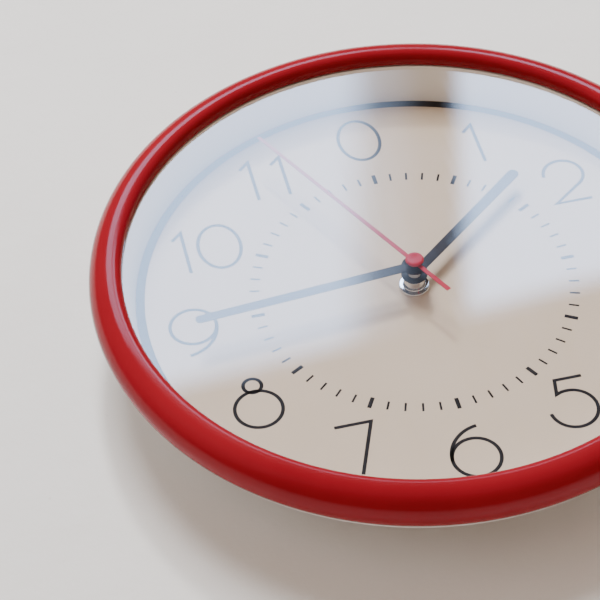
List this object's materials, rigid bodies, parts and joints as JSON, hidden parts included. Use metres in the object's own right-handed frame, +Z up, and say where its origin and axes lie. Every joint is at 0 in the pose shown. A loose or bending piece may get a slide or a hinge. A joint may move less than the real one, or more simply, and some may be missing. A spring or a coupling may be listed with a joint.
{
  "type": "wall clock",
  "caption": "Round wall clock with a thick glossy ring, flat clear lens, black bar hands, red seconds needle and a battery quartz movement behind the dial.",
  "frame": {"origin": "centre of the hanger's round entry hole, in the wall plane", "axes": "+Z up to 12 o'clock, -Y out of the dial towards the viewer, +X to 3 o'clock, the wall plane at Y = 0"},
  "size_m": [0.282, 0.0467, 0.282],
  "materials": {
    "red_gloss": "high gloss",
    "clear_lens": "polished",
    "white_plastic": "satin",
    "dial_card": "matt print",
    "back_plastic": "satin",
    "hand_black": "satin black",
    "hand_red": "gloss red",
    "steel": "bright",
    "bush_brass": "bright",
    "nut_chrome": "polished",
    "movement_black": "fine texture",
    "gear_plastic": "natural",
    "rubber_black": "matt",
    "magnet": "sintered",
    "copper": "enamelled",
    "board_green": "solder mask",
    "resin_black": "resin",
    "spring_nickel": "nickel plated",
    "cell_wrap": "printed sleeve"
  },
  "bodies": {
    "case": {"rear_case": "back_plastic", "bezel": "red_gloss", "lens": "clear_lens", "reflector_ring": "white_plastic", "dial": "dial_card", "case_screws": "steel", "threaded_bush": "bush_brass", "rubber_washer": "rubber_black", "dial_washer": "steel", "dial_nut": "nut_chrome", "movement_base": "movement_black", "movement_cover": "movement_black", "stator": "steel", "coil_core": "steel", "coil_bobbin": "white_plastic", "coil_winding": "copper", "circuit_board": "board_green", "driver_chip": "resin_black", "quartz_crystal": "spring_nickel", "positive_contact": "spring_nickel", "negative_contact": "spring_nickel"},
    "hours": {"hour_hand": "hand_black", "hour_collet": "steel", "hour_wheel": "gear_plastic"},
    "minutes": {"minute_hand": "hand_black", "minute_collet": "steel", "hand_nut": "bush_brass", "minute_pipe": "bush_brass", "centre_wheel": "gear_plastic"},
    "seconds": {"second_hand": "hand_red", "second_cap": "hand_red", "second_socket": "steel", "second_arbor": "steel", "second_wheel": "gear_plastic"},
    "third": {"third_wheel": "gear_plastic"},
    "fifth": {"fifth_wheel": "gear_plastic"},
    "rotor": {"rotor_pinion": "gear_plastic", "rotor_magnet": "magnet"},
    "minute_work": {"minute_work_wheel": "gear_plastic"},
    "setting": {"set_knob": "movement_black"},
    "battery": {"battery": "cell_wrap"}
  },
  "joints": [
    {"name": "minute_hand_turn", "type": "hinge", "parent": "case", "child": "minutes", "pos_m": [0, -0.0215, -0.08217], "axis": [0, 1, 0], "continuous": true},
    {"name": "hour_hand_turn", "type": "hinge", "parent": "case", "child": "hours", "pos_m": [0, -0.0215, -0.08217], "axis": [0, 1, 0], "continuous": true},
    {"name": "second_hand_turn", "type": "hinge", "parent": "case", "child": "seconds", "pos_m": [0, -0.0215, -0.08217], "axis": [0, 1, 0], "continuous": true},
    {"name": "third_wheel_turn", "type": "hinge", "parent": "case", "child": "third", "pos_m": [0.00396, -0.0039, -0.07531], "axis": [0, 1, 0], "continuous": true},
    {"name": "fifth_wheel_turn", "type": "hinge", "parent": "case", "child": "fifth", "pos_m": [-0.0052, -0.0039, -0.07917], "axis": [0, 1, 0], "continuous": true},
    {"name": "rotor_turn", "type": "hinge", "parent": "case", "child": "rotor", "pos_m": [-0.0088, -0.0039, -0.07488], "axis": [0, 1, 0], "continuous": true},
    {"name": "minute_work_turn", "type": "hinge", "parent": "case", "child": "minute_work", "pos_m": [0.00705, -0.0039, -0.0796], "axis": [0, 1, 0], "continuous": true},
    {"name": "set_knob_turn", "type": "hinge", "parent": "case", "child": "setting", "pos_m": [0.01429, -0.0039, -0.08154], "axis": [0, 1, 0], "continuous": true},
    {"name": "battery_slide", "type": "slide", "parent": "case", "child": "battery", "axis": [0, 1, 0], "range_m": [0, 0.014]}
  ],
  "couplings": [
    {"joint": "hour_hand_turn", "follows": "minute_hand_turn", "ratio": 0.083333},
    {"joint": "second_hand_turn", "follows": "minute_hand_turn", "ratio": 60},
    {"joint": "third_wheel_turn", "follows": "minute_hand_turn", "ratio": -8},
    {"joint": "fifth_wheel_turn", "follows": "minute_hand_turn", "ratio": -300},
    {"joint": "rotor_turn", "follows": "minute_hand_turn", "ratio": 1800},
    {"joint": "minute_work_turn", "follows": "minute_hand_turn", "ratio": -0.33333},
    {"joint": "set_knob_turn", "follows": "minute_hand_turn", "ratio": 1}
  ]
}
